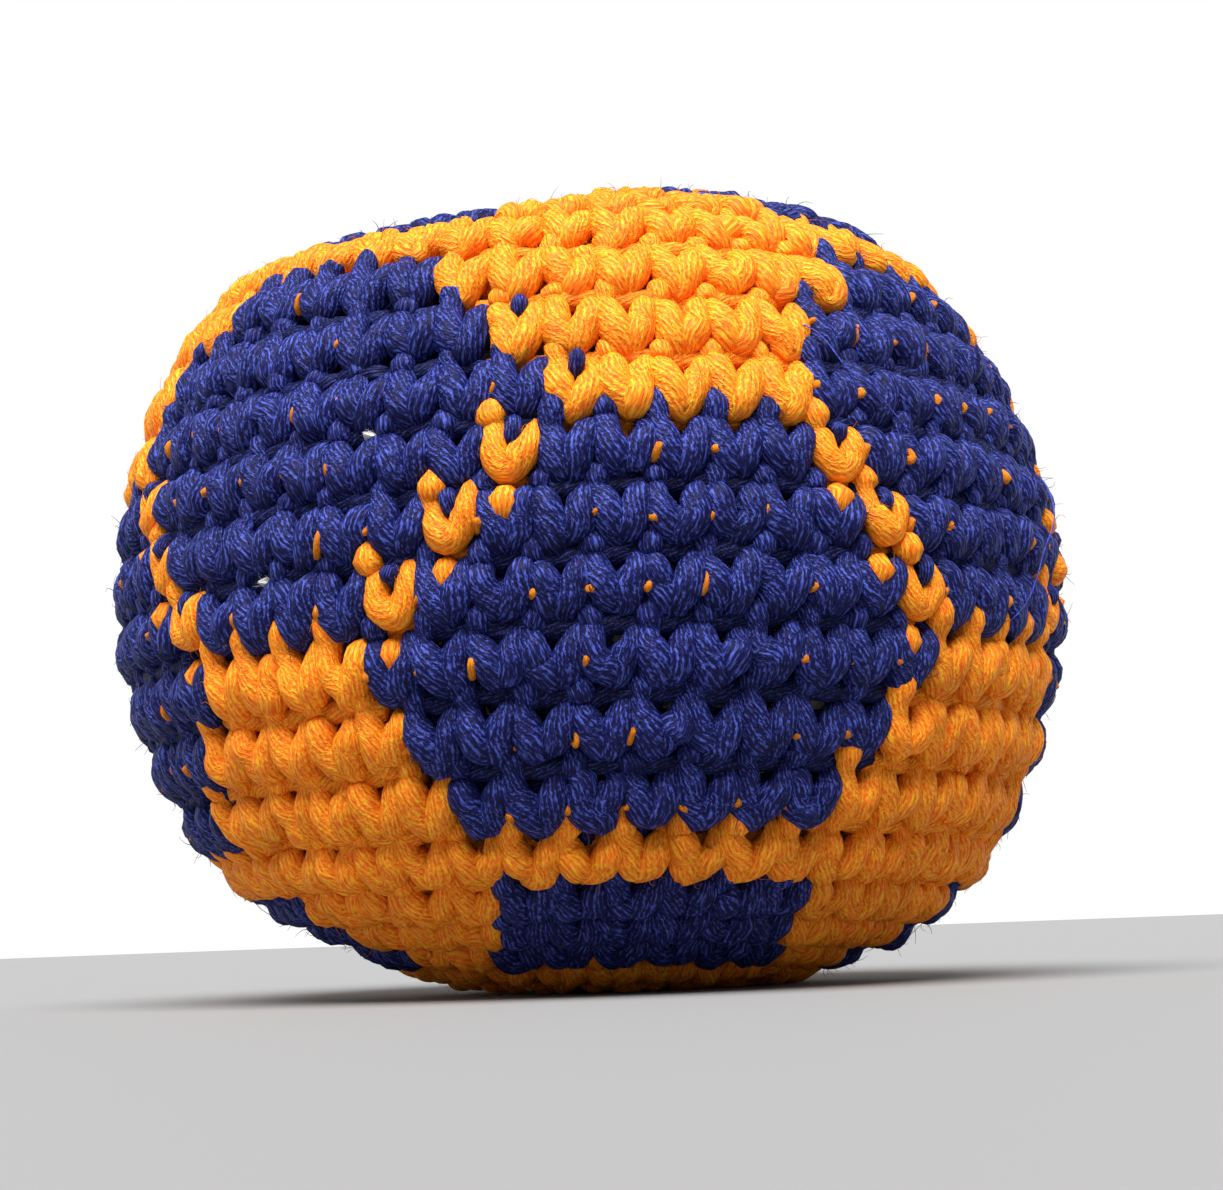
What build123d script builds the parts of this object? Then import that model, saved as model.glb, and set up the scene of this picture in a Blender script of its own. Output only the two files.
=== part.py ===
"""Crocheted juggling ball: a two-colour cover worked in rounds, an inner bag and loose pellets.

The cover is an oval of revolution that has settled on a flat foot. Its rounds of stitches are
numbered from the bottom pole to the top pole, and every colour change lies on a cone between two
rounds or on a plane through the middle of the ball, so that neighbouring areas meet face to face.
Azimuth is measured from the front (-Y) towards the right (+X). Millimetres, +Z up, origin at the
centre of the foot.
"""

import os
from math import asin, atan2, cos, degrees, hypot, radians, sin

from build123d import *

# Oval outline: side arc, shoulder arc and crown arc, tangent to each other
equator_radius = 32.5
crown_height = 28.2  # from the equator to the top pole
shoulder_radius = 18.0
shoulder_x = 12.0
shoulder_z = 7.4
foot_drop = 26.9  # from the equator down to the flat foot

# Crochet
cover_thickness = 2.6
round_count = 25
facets_per_round = 2
yarn_diameter = 1.7

# Colour changes, as round numbers from the bottom pole
cap_rounds = 4
lower_line_round = 7
upper_line_round = 17
lower_pentagon_top = 11
upper_pentagon_bottom = 14

# Half widths of the colour areas, in degrees of azimuth
sector = 90.0
lower_top_half = 12.0
lower_side_half = 24.0
upper_bottom_half = 16.5
upper_side_half = 28.0
pentagon_tip_half = 5.0
line_width = 5.4

# Inside
liner_gap = 0.2
liner_thickness = 0.5
liner_bottom = 5.8
liner_top = 48.0
neck_radius = 3.0
neck_height = 2.5
tie_diameter = 0.8
tie_turns = 3
pellet_diameter = 5.0
pellet_height = 4.4
pellet_gap = 0.45

# Arcs that follow from the outline
side_reach = equator_radius - shoulder_radius
side_x = (shoulder_x**2 + shoulder_z**2 - side_reach**2) / (2 * shoulder_x - 2 * side_reach)
side_radius = equator_radius - side_x
crown_reach = crown_height - shoulder_radius
crown_z = (shoulder_x**2 + shoulder_z**2 - crown_reach**2) / (2 * shoulder_z - 2 * crown_reach)
crown_radius = crown_height - crown_z
side_angle = degrees(atan2(shoulder_z, shoulder_x - side_x))
crown_angle = degrees(atan2(shoulder_z - crown_z, shoulder_x))
centre_z = foot_drop
centre = Vector(0, 0, centre_z)


def foot_angle(inset):
    """The angle below level at which the lower crown arc meets the flat foot."""
    return degrees(asin((foot_drop - crown_z - inset) / (crown_radius - inset)))


def outline(inset):
    """Half of the outline, moved inwards by inset: from the bottom pole to the top pole."""
    bottom = centre_z - foot_drop + inset
    crown = crown_radius - inset
    shoulder = shoulder_radius - inset
    low = foot_angle(inset)
    foot = Line((0, bottom), (crown * cos(radians(low)), bottom))
    arcs = [
        CenterArc((0, centre_z - crown_z), crown, -low, low - crown_angle),
        CenterArc((shoulder_x, centre_z - shoulder_z), shoulder, -crown_angle, crown_angle - side_angle),
        CenterArc((side_x, centre_z), side_radius - inset, -side_angle, 2 * side_angle),
        CenterArc((shoulder_x, centre_z + shoulder_z), shoulder, side_angle, crown_angle - side_angle),
        CenterArc((0, centre_z + crown_z), crown, crown_angle, 90 - crown_angle),
    ]
    return [foot, *arcs]


profile = Wire(outline(0))
cover_top = centre_z + crown_height


def round_point(level, azimuth):
    """The point of the outer surface at the lower edge of a round, at an azimuth in degrees."""
    place = profile @ (level / round_count)
    turn = radians(azimuth)
    return Vector(place.X * sin(turn), -place.X * cos(turn), place.Y)


def cover_point(level, inset):
    """A point of the cover's section: on the outline at a level, moved to the centre by inset."""
    place = profile @ (level / round_count)
    inwards = (Vector(0, centre_z) - place).normalized()
    return place + inwards * inset


def azimuth_plane(azimuth):
    """The upright plane that holds the axis, with its own X pointing out at an azimuth."""
    turn = radians(azimuth)
    return Plane(origin=(0, 0, 0), x_dir=(sin(turn), -cos(turn), 0), z_dir=(-cos(turn), -sin(turn), 0))


def edge_plane(low, low_azimuth, high, high_azimuth, side):
    """The plane through the centre and two points of the cover; side 1 keeps its west, -1 its east."""
    low_point = round_point(low, low_azimuth)
    high_point = round_point(high, high_azimuth)
    west = (low_point - centre).cross(high_point - centre)
    return Plane(origin=(low_point + high_point) / 2, z_dir=west * side)


def ring(low, high, start=0.0, turn=360.0):
    """The cover between the lower edges of two rounds, over a range of azimuth."""
    steps = range(low * facets_per_round, high * facets_per_round + 1)
    outer = [cover_point(step / facets_per_round, 0) for step in steps]
    inner = [cover_point(step / facets_per_round, cover_thickness) for step in reversed(steps)]
    with BuildPart() as piece:
        with BuildSketch(azimuth_plane(start)):
            with BuildLine():
                Polyline(*outer, *inner, close=True)
            make_face()
        revolve(axis=Axis.Z, revolution_arc=turn)
    return piece.part


def patch(low, high, west_low, west_high, east_low, east_high):
    """The cover between two rounds and two slanted edges, given by their azimuths low and high."""
    spare = 3.0
    start = min(west_low, west_high) - spare
    turn = max(east_low, east_high) + spare - start
    blank = ring(low, high, start, turn)
    with BuildPart() as piece:
        add(blank)
        split(bisect_by=edge_plane(low, west_low, high, west_high, -1), keep=Keep.TOP)
        split(bisect_by=edge_plane(low, east_low, high, east_high, 1), keep=Keep.TOP)
    return piece.part


def even_patch(azimuth, low, high, half_low, half_high):
    """A patch that is the same on both sides of an azimuth."""
    return patch(low, high, azimuth - half_low, azimuth - half_high, azimuth + half_low, azimuth + half_high)


def finish(name, pieces):
    """Joins the pieces into one node where they share a face, labels it and writes it."""
    with BuildPart() as node:
        for piece in pieces:
            add(piece)
    node.part.label = name
    export_step(node.part, f"parts/{name}.step")


os.makedirs("parts", exist_ok=True)

# Rounds and half widths shared by the areas
lower_line_top = lower_line_round + 1
upper_line_top = upper_line_round + 1
upper_cap_round = round_count - cap_rounds
half_sector = sector / 2
tip_gap = half_sector - pentagon_tip_half
lower_gap = half_sector - lower_side_half
upper_gap = half_sector - upper_side_half
lower_hexagon_side = half_sector - lower_top_half
lower_hexagon_top = upper_bottom_half - line_width
upper_hexagon_side = half_sector - upper_bottom_half
upper_hexagon_bottom = lower_top_half - line_width

# Caps
finish("bottom_cap", [ring(0, cap_rounds)])
finish("top_cap", [ring(upper_cap_round, round_count)])

# Areas that repeat in each sector
lower_line = []
upper_line = []
belt_lines = []
for number in range(4):
    front = number * sector
    corner = front + half_sector
    name = number + 1
    finish(
        f"lower_pentagon_{name}",
        [
            even_patch(corner, cap_rounds, lower_line_round, pentagon_tip_half, lower_side_half),
            even_patch(corner, lower_line_round, lower_line_top, lower_side_half, lower_side_half),
            even_patch(corner, lower_line_top, lower_pentagon_top, lower_side_half, lower_top_half),
        ],
    )
    finish(
        f"upper_pentagon_{name}",
        [
            even_patch(front, upper_pentagon_bottom, upper_line_round, upper_bottom_half, upper_side_half),
            even_patch(front, upper_line_round, upper_line_top, upper_side_half, upper_side_half),
            even_patch(front, upper_line_top, upper_cap_round, upper_side_half, pentagon_tip_half),
        ],
    )
    finish(
        f"bottom_hexagon_{name}",
        [even_patch(front, cap_rounds, lower_line_round, tip_gap, lower_gap)],
    )
    finish(
        f"lower_belt_hexagon_{name}",
        [
            even_patch(front, lower_line_top, lower_pentagon_top, lower_gap, lower_hexagon_side),
            even_patch(front, lower_pentagon_top, upper_pentagon_bottom, lower_hexagon_side, lower_hexagon_top),
        ],
    )
    finish(
        f"upper_belt_hexagon_{name}",
        [
            even_patch(corner, lower_pentagon_top, upper_pentagon_bottom, upper_hexagon_bottom, upper_hexagon_side),
            even_patch(corner, upper_pentagon_bottom, upper_line_round, upper_hexagon_side, upper_gap),
        ],
    )
    finish(
        f"top_hexagon_{name}",
        [even_patch(corner, upper_line_top, upper_cap_round, upper_gap, tip_gap)],
    )
    lower_line.append(even_patch(front, lower_line_round, lower_line_top, lower_gap, lower_gap))
    upper_line.append(even_patch(corner, upper_line_round, upper_line_top, upper_gap, upper_gap))
    line_low = lower_hexagon_side + line_width
    belt_lines.append(
        patch(
            lower_pentagon_top,
            upper_pentagon_bottom,
            front + lower_hexagon_side,
            front + lower_hexagon_top,
            front + line_low,
            front + upper_bottom_half,
        )
    )
    belt_lines.append(
        patch(
            lower_pentagon_top,
            upper_pentagon_bottom,
            front - line_low,
            front - upper_bottom_half,
            front - lower_hexagon_side,
            front - lower_hexagon_top,
        )
    )
finish("lower_line", lower_line)
finish("upper_line", upper_line)
finish("belt_lines", belt_lines)

# First loop and hidden start of the yarns, on the inside of the foot
yarn_radius = yarn_diameter / 2
floor_level = cover_thickness + yarn_radius + 0.05
start_ring_radius = 1.75
with BuildPart() as start_ring:
    with Locations((0, 0, floor_level)):
        Torus(start_ring_radius, yarn_radius)
start_ring.part.label = "start_ring"
export_step(start_ring.part, "parts/start_ring.step")


def tail(name, radius, level, start, turn):
    """A hidden yarn end that lies in an arc about the axis."""
    with BuildPart() as strand:
        with BuildSketch(azimuth_plane(start)):
            with Locations((radius, level)):
                Circle(yarn_radius)
        revolve(axis=Axis.Z, revolution_arc=turn)
    strand.part.label = name
    export_step(strand.part, f"parts/{name}.step")


tail("orange_start_tail", 5.6, floor_level, 20, 230)
tail("navy_start_tail", 9.2, floor_level, 150, 190)

# Drawn-in closing loop and hidden ends, under the top cap
bag_level = liner_top + yarn_radius + 0.05
closing_loop_radius = 2.2
with BuildPart() as closing_loop:
    with Locations((0, 0, cover_top - cover_thickness - yarn_radius - 0.1)):
        Torus(closing_loop_radius, yarn_radius)
closing_loop.part.label = "closing_loop"
export_step(closing_loop.part, "parts/closing_loop.step")
tail("orange_end_tail", 7.2, bag_level, 60, 260)
tail("navy_end_tail", 10.4, bag_level, 200, 170)

# Inner bag: the oval of the cavity, flat at the bottom and the top, with a gathered neck
bag_inset = cover_thickness + liner_gap
fill_inset = bag_inset + liner_thickness
section_width = 2 * equator_radius
neck_top = liner_top + neck_height


def bag_profile(inset, low, high):
    """Half section of the inner bag, cut off at two levels."""
    with BuildSketch(Plane.XZ) as half:
        with BuildLine():
            outline(inset)
            Line((0, inset), (0, cover_top - inset))
        make_face()
        with Locations((0, (low + high) / 2)):
            Rectangle(section_width, high - low, mode=Mode.INTERSECT)
    return half.sketch


bag_outside = bag_profile(bag_inset, liner_bottom, liner_top)
bag_inside = bag_profile(fill_inset, liner_bottom + liner_thickness, liner_top - liner_thickness)
with BuildPart() as liner_bag:
    add(bag_outside)
    revolve(axis=Axis.Z)
    with Locations((0, 0, liner_top)):
        Cylinder(neck_radius, neck_height, align=(Align.CENTER, Align.CENTER, Align.MIN))
    chamfer(liner_bag.edges().group_by(Axis.Z)[-1], 0.6)
    add(bag_inside)
    revolve(axis=Axis.Z, mode=Mode.SUBTRACT)
liner_bag.part.label = "liner_bag"
export_step(liner_bag.part, "parts/liner_bag.step")

# Thread wound round the neck: turns that lie against each other
with BuildPart() as liner_tie:
    for turn_number in range(tie_turns):
        level = liner_top + 0.1 + tie_diameter / 2 + turn_number * tie_diameter * 0.75
        with Locations((0, 0, level)):
            Torus(neck_radius + tie_diameter / 2 + 0.03, tie_diameter / 2)
liner_tie.part.label = "liner_tie"
export_step(liner_tie.part, "parts/liner_tie.step")

# Filling: short cylinders in layers, with the top layer missing because the bag is slack
fill_bottom = liner_bottom + liner_thickness + pellet_gap
fill_top = liner_top - liner_thickness
layer_pitch = pellet_height + pellet_gap
layer_count = int((fill_top - fill_bottom) // layer_pitch) - 1
pellet_pitch = pellet_diameter + pellet_gap
cells = int(section_width // pellet_pitch)


def cavity_radius(level):
    """The inner radius of the bag at a level."""
    with BuildLine(mode=Mode.PRIVATE):
        wall = outline(fill_inset)
    cut = Edge.make_line((0, level), (section_width, level))
    reach = [cut.intersect(arc) for arc in wall[1:]]
    return max(point.X for points in reach if points for point in points)


with BuildPart() as filling_pellets:
    for layer in range(layer_count):
        low = fill_bottom + layer * layer_pitch
        room = min(cavity_radius(low), cavity_radius(low + pellet_height)) - pellet_diameter / 2 - pellet_gap
        shift = (layer % 2) * pellet_pitch / 2
        with BuildSketch(Plane.XY.offset(low)):
            with Locations((shift, 0)):
                grid = HexLocations(pellet_pitch / 2, cells, cells)
                places = [place.position for place in grid.local_locations]
            spots = [(spot.X + shift, spot.Y) for spot in places if hypot(spot.X + shift, spot.Y) < room]
            with Locations(*spots):
                Circle(pellet_diameter / 2)
        extrude(amount=pellet_height)
filling_pellets.part.label = "filling_pellets"
export_step(filling_pellets.part, "parts/filling_pellets.step")
print("pellets:", len(filling_pellets.part.solids()))
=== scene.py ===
"""Crocheted juggling ball in orange and navy yarn: the looks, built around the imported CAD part.

Every stitch is a strand of yarn: a foot that comes up through the loops of the round below, a top
loop that stands up between the stitches of the round above, and two legs that meet in a rounded
point. The single stitches that trace the seam lines follow a rounder path than the others. A path
is written in stitch units (u across, v up) and millimetres outwards from the even oval outline, so
most of it lies at less than 0, and is laid on the ball by azimuth and round. Lengths are in
millimetres until a mesh is built.
"""

from collections import namedtuple
from math import atan2, cos, degrees, pi, radians, sin

import bpy
import numpy as np
from mathutils import Matrix, Vector


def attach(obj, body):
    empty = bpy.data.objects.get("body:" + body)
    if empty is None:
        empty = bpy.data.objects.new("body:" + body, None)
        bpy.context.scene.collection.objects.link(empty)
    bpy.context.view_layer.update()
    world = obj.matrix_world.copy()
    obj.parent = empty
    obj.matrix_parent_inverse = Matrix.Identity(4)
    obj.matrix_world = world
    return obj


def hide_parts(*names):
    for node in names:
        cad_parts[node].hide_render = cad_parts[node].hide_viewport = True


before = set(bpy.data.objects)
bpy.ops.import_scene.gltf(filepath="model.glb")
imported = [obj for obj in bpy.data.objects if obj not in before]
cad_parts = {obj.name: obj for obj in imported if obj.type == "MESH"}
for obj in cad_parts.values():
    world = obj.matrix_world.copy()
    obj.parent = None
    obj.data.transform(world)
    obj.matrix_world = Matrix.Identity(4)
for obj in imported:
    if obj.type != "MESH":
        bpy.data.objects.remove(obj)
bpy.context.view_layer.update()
rng = np.random.default_rng(41)

METRES = 0.001  # in a millimetre

# ---------------------------------------------------------------- outline, the same as the CAD part
EQUATOR_RADIUS = 32.5
CROWN_HEIGHT = 28.2
SHOULDER_RADIUS = 18.0
SHOULDER_X = 12.0
SHOULDER_Z = 7.4
FOOT_DROP = 26.9
ROUNDS = 25
CENTRE_Z = FOOT_DROP
FOOT_SAMPLES = 100
OUTLINE_SAMPLES = 2001
NORMAL_BLUR = 30  # samples to each side
LEAST_RADIUS = 0.02

side_reach = EQUATOR_RADIUS - SHOULDER_RADIUS
side_x = (SHOULDER_X**2 + SHOULDER_Z**2 - side_reach**2) / (2 * SHOULDER_X - 2 * side_reach)
side_radius = EQUATOR_RADIUS - side_x
crown_reach = CROWN_HEIGHT - SHOULDER_RADIUS
crown_z = (SHOULDER_X**2 + SHOULDER_Z**2 - crown_reach**2) / (2 * SHOULDER_Z - 2 * crown_reach)
crown_radius = CROWN_HEIGHT - crown_z
side_angle = atan2(SHOULDER_Z, SHOULDER_X - side_x)
crown_angle = atan2(SHOULDER_Z - crown_z, SHOULDER_X)


def sample_arc(centre_x, centre_z, radius, start, end, count=200):
    """Points of one arc of the outline, with the direction of its outward normal."""
    angle = np.linspace(start, end, count)
    return np.stack([centre_x + radius * np.cos(angle), centre_z + radius * np.sin(angle), angle], axis=1)


def sample_outline():
    """The outline from the bottom pole to the top pole: arc length, radius, height and normal."""
    foot_angle = np.arcsin((FOOT_DROP - crown_z) / crown_radius)
    foot_radius = crown_radius * cos(foot_angle)
    flat = np.linspace(0, foot_radius, FOOT_SAMPLES)
    foot = np.stack([flat, np.full(FOOT_SAMPLES, -FOOT_DROP), np.full(FOOT_SAMPLES, -pi / 2)], axis=1)
    parts = [
        foot,
        sample_arc(0, -crown_z, crown_radius, -foot_angle, -crown_angle),
        sample_arc(SHOULDER_X, -SHOULDER_Z, SHOULDER_RADIUS, -crown_angle, -side_angle),
        sample_arc(side_x, 0, side_radius, -side_angle, side_angle),
        sample_arc(SHOULDER_X, SHOULDER_Z, SHOULDER_RADIUS, side_angle, crown_angle),
        sample_arc(0, crown_z, crown_radius, crown_angle, pi / 2),
    ]
    points = np.concatenate(parts)
    steps = np.hypot(np.diff(points[:, 0]), np.diff(points[:, 1]))
    length = np.concatenate([[0], np.cumsum(steps)])
    even = np.linspace(0, length[-1], OUTLINE_SAMPLES)
    radius = np.interp(even, length, points[:, 0])
    height = np.interp(even, length, points[:, 1]) + CENTRE_Z
    normal = np.interp(even, length, points[:, 2])
    window = np.ones(2 * NORMAL_BLUR + 1) / (2 * NORMAL_BLUR + 1)
    padded = np.concatenate([np.full(NORMAL_BLUR, normal[0]), normal, np.full(NORMAL_BLUR, normal[-1])])
    return even, radius, height, np.convolve(padded, window, mode="valid")


outline_length, outline_radius, outline_height, outline_normal = sample_outline()
ROUND_PITCH = outline_length[-1] / ROUNDS

# Where the filling has settled and the cover gives: azimuth, level, spreads in both, and depth.
# A depth less than 0 is a bulge.
SLACK = (
    (-95, 17.6, 45, 1.8, -1.0),
    (-55, 20.8, 55, 2.3, 3.2),
    (0, 25.0, 9999, 5.0, 0.3),
    (-105, 5.2, 50, 2.8, 1.1),
    (80, 16.0, 45, 3.5, 0.5),
    (80, 6.0, 45, 3.5, -0.9),
)

# Rounds are worked looser round the belt and tighter at the poles: level, spread, shift in rounds
STRETCH = ((18.8, 2.8, 0.8), (7.2, 3.4, -0.6))


def slack_depth(azimuth, level):
    """How far the cover lies inside the even outline."""
    total = 0.0
    for middle, deepest, spread, tall, amount in SLACK:
        across = (np.degrees(azimuth) - middle + 180) % 360 - 180
        total = total + amount * np.exp(-((across / spread) ** 2) - ((level - deepest) / tall) ** 2)
    return total


def on_ball(azimuth, level, depth):
    """Points at an azimuth in radians, a level in rounds and an outward distance."""
    depth = depth - slack_depth(azimuth, level)
    stretched = level
    for middle, spread, shift in STRETCH:
        stretched = stretched + shift * np.exp(-(((level - middle) / spread) ** 2))
    along = np.clip(stretched, 0, ROUNDS) * ROUND_PITCH
    radius = np.interp(along, outline_length, outline_radius)
    height = np.interp(along, outline_length, outline_height)
    normal = np.interp(along, outline_length, outline_normal)
    radius = np.maximum(radius + depth * np.cos(normal), LEAST_RADIUS)
    height = height + depth * np.sin(normal)
    return np.stack([radius * np.sin(azimuth), -radius * np.cos(azimuth), height], axis=-1)


# ---------------------------------------------------------------- stitches in rounds
STITCH_WIDTH = 3.4
LEAN = 0.13  # how far a stitch leans across for each round up
FLAME_U = -0.42  # where the top loop stands up

# Rounds at which the pattern changes, counted from the bottom
BOTTOM_CAP_END = 4
LOWER_LINE = 7
SEAMS_START = 11
SEAMS_END = 14
UPPER_LINE = 17
TOP_CAP_START = 21
MIDDLE_ROUND = 12
ROUND_DRIFT = 6  # degrees, times the lean: how much further each round starts

# Half widths of the pentagons and the places of the seam stitches, in degrees
PENTAGON_TIP = 5
LOWER_WIDE = 24
LOWER_NARROW = 12
LOWER_TRIM = 5.0  # one lower pentagon is narrower at one side
UPPER_WIDE = 28
UPPER_PENTAGON_HALF = {14: 15.0, 15: 21.0, 16: 27.0}
SEAM_AT = {11: 32.0, 12: 26.2, 13: 19.8}

# raised: the stitch above has the other colour; parted: the stitch below has the other colour
Stitch = namedtuple("Stitch", "round azimuth width area orange raised parted")


def stitches_in_round(number):
    """How many stitches a round holds: as many as fit, in fours for the repeat of the pattern."""
    middle = np.interp((number + 0.5) * ROUND_PITCH, outline_length, outline_radius)
    return max(8, 4 * round(2 * pi * middle / STITCH_WIDTH / 4))


def blend(level, low, high, at_low, at_high):
    """A half width that changes evenly between two levels."""
    return at_low + (at_high - at_low) * (level - low) / (high - low)


def area_of(number, azimuth):
    """The colour area and whether it is orange, for a round and an azimuth in degrees."""
    level = number + 0.5
    sector = int(np.floor((azimuth + 45) / 90)) % 4
    offset = (azimuth + 45) % 90 - 45
    corner = int(np.floor(azimuth / 90)) % 4
    side = abs(offset)
    to_corner = 45 - side
    if number < BOTTOM_CAP_END:
        return "bottom_cap", True
    if number < LOWER_LINE:
        if to_corner < blend(level, BOTTOM_CAP_END, LOWER_LINE, PENTAGON_TIP, LOWER_WIDE):
            return f"lower_pentagon_{corner + 1}", True
        return f"bottom_hexagon_{sector + 1}", False
    if number == LOWER_LINE:
        if to_corner < LOWER_WIDE:
            return f"lower_pentagon_{corner + 1}", True
        return "lower_line", True
    if number < SEAMS_START:
        trim = LOWER_TRIM if corner == 3 and azimuth > 315 else 0.0
        if to_corner < blend(level, LOWER_LINE + 1, SEAMS_START, LOWER_WIDE, LOWER_NARROW) - trim:
            return f"lower_pentagon_{corner + 1}", True
        return f"lower_belt_hexagon_{sector + 1}", False
    if number < SEAMS_END:
        if side < SEAM_AT[number]:
            return f"lower_belt_hexagon_{sector + 1}", False
        return f"upper_belt_hexagon_{corner + 1}", False
    if number < UPPER_LINE:
        if side < UPPER_PENTAGON_HALF[number]:
            return f"upper_pentagon_{sector + 1}", True
        return f"upper_belt_hexagon_{corner + 1}", False
    if number == UPPER_LINE:
        if side < UPPER_WIDE:
            return f"upper_pentagon_{sector + 1}", True
        return "upper_line", True
    if number < TOP_CAP_START:
        if side < blend(level, UPPER_LINE + 1, TOP_CAP_START, UPPER_WIDE, PENTAGON_TIP):
            return f"upper_pentagon_{sector + 1}", True
        return f"top_hexagon_{corner + 1}", False
    return "top_cap", True


def lay_out():
    """Every stitch of the cover, round by round from the bottom."""
    stitches = []
    for number in range(ROUNDS):
        count = stitches_in_round(number)
        width = 360 / count
        front = LEAN * (number - MIDDLE_ROUND) * ROUND_DRIFT
        azimuths = [(front + k * width) % 360 for k in range(count)]
        areas = [area_of(number, azimuth) for azimuth in azimuths]
        if number in SEAM_AT:
            for sector in range(4):
                for hand in (-1, 1):
                    target = (sector * 90 + hand * SEAM_AT[number]) % 360
                    gaps = [abs((azimuth - target + 180) % 360 - 180) for azimuth in azimuths]
                    areas[int(np.argmin(gaps))] = ("belt_lines", True)
        for azimuth, (area, orange) in zip(azimuths, areas):
            above = area_of(min(number + 1, ROUNDS - 1), (azimuth + (FLAME_U + LEAN) * width) % 360)
            below = area_of(max(number - 1, 0), (azimuth - LEAN * width) % 360)
            raised = above[1] != orange
            parted = below[1] != orange
            stitches.append(Stitch(number, radians(azimuth), radians(width), area, orange, raised, parted))
    return stitches


# Paths: u, v, outward distance, yarn radius, samples up to the next point
STITCH_PATH = np.array(
    [
        (-0.06, -0.30, -2.45, 0.45, 1),
        (-0.10, -0.22, -2.30, 0.45, 2),
        (-0.05, 0.10, -2.30, 0.45, 1),
        (-0.10, 0.40, -2.45, 0.45, 1),
        (-0.35, 1.00, -2.45, 0.45, 2),
        (FLAME_U, 1.48, -2.15, 0.26, 4),
        (FLAME_U, 1.24, -1.40, 0.82, 3),
        (-0.42, 1.06, -1.50, 0.64, 3),
        (-0.36, 0.84, -1.10, 0.90, 4),
        (-0.25, 0.60, -1.00, 1.02, 4),
        (-0.13, 0.37, -1.08, 1.00, 3),
        (-0.02, 0.26, -1.30, 0.84, 3),
        (0.10, 0.37, -1.10, 0.98, 4),
        (0.22, 0.60, -1.00, 1.00, 4),
        (0.31, 0.84, -1.12, 0.86, 3),
        (0.34, 1.04, -1.60, 0.48, 2),
        (0.30, 1.02, -2.35, 0.45, 1),
        (0.65, 0.25, -2.45, 0.45, 1),
        (0.94, -0.30, -2.45, 0.45, 0),
    ]
)
# Under a stitch of the other colour the top loop stands up as a tongue of its own colour
FLAME_POINTS = slice(5, 9)
FLAME_RAISE = np.array(
    [(-0.06, 0.18, 0.35, 0.02), (-0.01, 0.08, 0.28, 0.0), (0.0, 0.0, 0.30, 0.12), (0.0, 0.0, 0.0, 0.0)]
)
# Between two rounds of one colour the tip where the legs meet sinks into the valley
TIP_POINTS = slice(10, 13)
TIP_SINK = np.array([(0.0, 0.03, -0.22, -0.06), (0.0, 0.05, -0.50, -0.12), (0.0, 0.03, -0.22, -0.06)])
ORANGE_TIP_SINK = 0.35  # of what a navy tip sinks
# The single stitches that trace the seam lines stand rounder, with their foot and top loop in view
SEAM_PATH = np.array(
    [
        (-0.06, -0.30, -2.45, 0.50, 1),
        (-0.11, -0.40, -1.80, 0.56, 3),
        (-0.09, -0.13, -1.00, 0.92, 3),
        (-0.08, 0.15, -2.20, 0.45, 1),
        (-0.35, 1.00, -2.45, 0.45, 2),
        (-0.42, 1.56, -1.75, 0.30, 4),
        (-0.43, 1.22, -1.00, 0.92, 3),
        (-0.43, 1.02, -1.20, 0.66, 3),
        (-0.35, 0.80, -1.00, 0.76, 4),
        (-0.24, 0.58, -0.95, 0.88, 4),
        (0.00, 0.43, -1.02, 0.94, 4),
        (0.21, 0.60, -0.95, 0.90, 4),
        (0.30, 0.83, -1.00, 0.80, 3),
        (0.30, 1.08, -1.45, 0.44, 2),
        (0.30, 1.02, -2.35, 0.45, 1),
        (0.65, 0.25, -2.45, 0.45, 1),
        (0.94, -0.30, -2.45, 0.45, 0),
    ]
)
# Bars lie behind the stitches and close the gaps; over the other colour the lower one lies deeper
LOWER_BAR = np.array(
    [(-0.60, 0.10, -1.80, 0.72, 2), (0.00, 0.12, -1.75, 0.76, 2), (0.60, 0.10, -1.80, 0.72, 0)]
)
PARTED_BAR = LOWER_BAR + np.array([0, 0.06, -0.50, -0.06, 0])
UPPER_BAR = np.array(
    [(-0.60, 0.62, -2.35, 0.66, 1), (0.00, 0.66, -2.25, 0.72, 1), (0.60, 0.62, -2.35, 0.66, 0)]
)
# How far the points of a path waver at random: u, v, distance, radius
COVER_WOBBLE = (0.04, 0.04, 0.11, 0.04)
CARRIED_WOBBLE = (0.02, 0.06, 0.08, 0.045)
PEEP_WOBBLE = (0.02, 0.03, 0.05, 0.03)
# The colour that isn't worked runs along inside the stitches and peeps out between two of them
CARRIED = np.array(
    [
        (-0.62, 0.60, -1.90, 0.20, 2),
        (-0.52, 0.54, -0.85, 0.21, 3),
        (-0.465, 0.62, -0.32, 0.22, 3),
        (-0.43, 0.70, -0.85, 0.21, 2),
        (-0.34, 0.72, -1.90, 0.20, 0),
    ]
)
# It also shows between the two legs of a stitch
PEEP = np.array(
    [
        (-0.02, 0.72, -1.90, 0.30, 2),
        (-0.02, 0.82, -0.90, 0.42, 3),
        (-0.02, 0.92, -0.45, 0.50, 3),
        (-0.02, 1.04, -0.85, 0.44, 2),
        (-0.02, 1.14, -1.90, 0.30, 0),
    ]
)


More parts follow.
